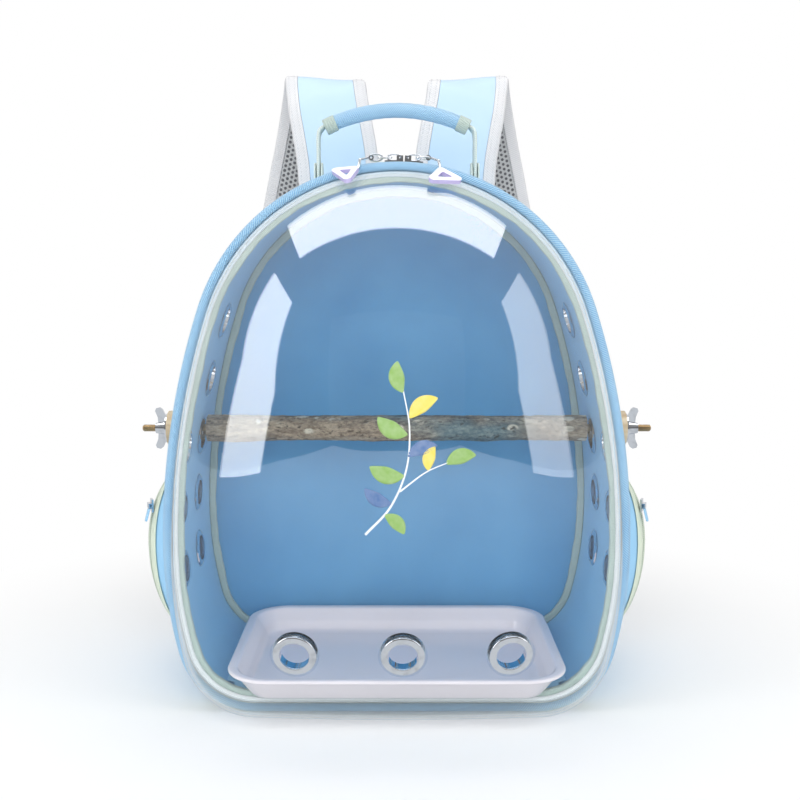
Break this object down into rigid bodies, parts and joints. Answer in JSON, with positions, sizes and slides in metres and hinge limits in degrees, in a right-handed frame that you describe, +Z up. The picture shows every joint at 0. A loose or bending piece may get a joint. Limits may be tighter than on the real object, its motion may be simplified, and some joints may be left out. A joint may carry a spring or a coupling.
{
  "type": "bird travel carrier",
  "caption": "Backpack carrier for a small bird: a soft shell with a clear zipped dome door, a branch perch, a feeding tray, a handle and shoulder straps.",
  "frame": {"origin": "middle of the flat underside of the shell, where the carrier stands", "axes": "+Z up, -Y towards the clear dome, +X to the right seen from the front"},
  "size_m": [0.4134, 0.3393, 0.4939],
  "materials": {
    "wall_cloth": "satin",
    "back_cloth": "satin",
    "piping_cord": "satin",
    "sage_binding": "matte",
    "floor_cloth": "matte",
    "zip_coil": "matte",
    "chrome": "polished",
    "bark": "rough",
    "stud_steel": "satin",
    "turned_wood": "satin",
    "pocket_cloth": "satin",
    "pad_mesh": "matte",
    "strap_cloth": "matte",
    "webbing": "matte",
    "buckle_plastic": "satin",
    "clear_dome": "clear",
    "clear_gasket": "clear",
    "door_cloth": "satin",
    "welt_cloth": "matte",
    "tab_plastic": "gloss",
    "grip_cloth": "satin",
    "wrap_braid": "matte",
    "tray_plastic": "gloss"
  },
  "bodies": {
    "shell": {"side_wall": "wall_cloth", "back_panel": "back_cloth", "back_piping": "piping_cord", "back_binding": "sage_binding", "base_panel": "back_cloth", "floor_pad": "floor_cloth", "zip_tape_body": "sage_binding", "zip_coil_body": "zip_coil", "hinge_leaf_body": "wall_cloth", "left_eyelets": "chrome", "right_eyelets": "chrome", "left_eyelet_washers": "chrome", "right_eyelet_washers": "chrome", "perch_branch": "bark", "left_perch_stud": "stud_steel", "right_perch_stud": "stud_steel", "left_perch_collar": "turned_wood", "right_perch_collar": "turned_wood", "left_pocket": "pocket_cloth", "right_pocket": "pocket_cloth", "left_pocket_zip": "sage_binding", "right_pocket_zip": "sage_binding", "left_pocket_slider": "chrome", "right_pocket_slider": "chrome", "back_pad": "pad_mesh", "left_strap_pad": "strap_cloth", "right_strap_pad": "strap_cloth", "left_strap_webbing": "webbing", "right_strap_webbing": "webbing", "left_strap_buckle": "buckle_plastic", "right_strap_buckle": "buckle_plastic", "strap_anchors": "back_cloth", "handle_anchors": "sage_binding"},
    "door": {"clear_dome": "clear_dome", "door_frame": "door_cloth", "rim_piping": "piping_cord", "dome_welt": "welt_cloth", "dome_binding": "sage_binding", "zip_tape_door": "sage_binding", "zip_coil_door": "zip_coil", "hinge_leaf_door": "wall_cloth", "dome_eyelets": "chrome", "dome_eyelet_washers": "clear_gasket"},
    "left_zip_slider": {"left_slider": "chrome"},
    "right_zip_slider": {"right_slider": "chrome"},
    "left_chain": {"left_pull_chain": "chrome"},
    "right_chain": {"right_pull_chain": "chrome"},
    "left_tab": {"left_pull_tab": "tab_plastic"},
    "right_tab": {"right_pull_tab": "tab_plastic"},
    "handle": {"handle_grip": "grip_cloth", "handle_wraps": "wrap_braid", "handle_webbing": "webbing"},
    "left_clamp_washer": {"left_washer": "chrome"},
    "right_clamp_washer": {"right_washer": "chrome"},
    "left_nut": {"left_wing_nut": "chrome"},
    "right_nut": {"right_wing_nut": "chrome"},
    "left_pocket_tag": {"left_pocket_pull": "chrome"},
    "right_pocket_tag": {"right_pocket_pull": "chrome"},
    "tray": {"feeding_tray": "tray_plastic"}
  },
  "joints": [
    {"name": "door_open", "type": "hinge", "parent": "shell", "child": "door", "pos_m": [-0.1681, -0.07, 0.122], "axis": [0, 0, -1], "range_deg": [0, 110]},
    {"name": "left_zip_travel", "type": "hinge", "parent": "door", "child": "left_zip_slider", "pos_m": [0, -0.07, 0.251], "axis": [0, -1, 0], "range_deg": [0, 50]},
    {"name": "left_chain_swing", "type": "hinge", "parent": "left_zip_slider", "child": "left_chain", "pos_m": [0.00245, -0.07, 0.40369], "axis": [0, 1, 0], "range_deg": [0, 75]},
    {"name": "left_tab_swing", "type": "hinge", "parent": "left_chain", "child": "left_tab", "pos_m": [-0.01805, -0.07, 0.40369], "axis": [0, 1, 0], "range_deg": [0, 90]},
    {"name": "right_zip_travel", "type": "hinge", "parent": "door", "child": "right_zip_slider", "pos_m": [0, -0.07, 0.251], "axis": [0, 1, 0], "range_deg": [0, 50]},
    {"name": "right_chain_swing", "type": "hinge", "parent": "right_zip_slider", "child": "right_chain", "pos_m": [0.00779, -0.07, 0.40351], "axis": [0, -1, 0], "range_deg": [0, 75]},
    {"name": "right_tab_swing", "type": "hinge", "parent": "right_chain", "child": "right_tab", "pos_m": [0.02229, -0.07, 0.40351], "axis": [0, -1, 0], "range_deg": [0, 90]},
    {"name": "handle_swing", "type": "hinge", "parent": "shell", "child": "handle", "pos_m": [0, -0.03, 0.39569], "axis": [1, 0, 0], "range_deg": [-75, 60]},
    {"name": "tray_lift", "type": "slide", "parent": "shell", "child": "tray", "axis": [0, 0, 1], "range_m": [0, 0.04]},
    {"name": "left_washer_slide", "type": "slide", "parent": "shell", "child": "left_clamp_washer", "axis": [-1, 0, 0], "range_m": [0, 0.0061]},
    {"name": "left_nut_spin", "type": "hinge", "parent": "left_clamp_washer", "child": "left_nut", "pos_m": [-0.1869, 0.018, 0.198], "axis": [-1, 0, 0], "range_deg": [0, 2160]},
    {"name": "left_pocket_pull_swing", "type": "hinge", "parent": "shell", "child": "left_pocket_tag", "pos_m": [-0.18795, -0.04371, 0.14757], "axis": [-0.3821, 0.9241, 0], "range_deg": [0, 75]},
    {"name": "right_washer_slide", "type": "slide", "parent": "shell", "child": "right_clamp_washer", "axis": [1, 0, 0], "range_m": [0, 0.0061]},
    {"name": "right_nut_spin", "type": "hinge", "parent": "right_clamp_washer", "child": "right_nut", "pos_m": [0.1869, 0.018, 0.198], "axis": [1, 0, 0], "range_deg": [0, 2160]},
    {"name": "right_pocket_pull_swing", "type": "hinge", "parent": "shell", "child": "right_pocket_tag", "pos_m": [0.18795, -0.04371, 0.14757], "axis": [-0.3821, -0.9241, 0], "range_deg": [0, 75]}
  ],
  "couplings": [
    {"joint": "left_washer_slide", "follows": "left_nut_spin", "m_per_rad": 0.00015915},
    {"joint": "right_washer_slide", "follows": "right_nut_spin", "m_per_rad": 0.00015915}
  ]
}
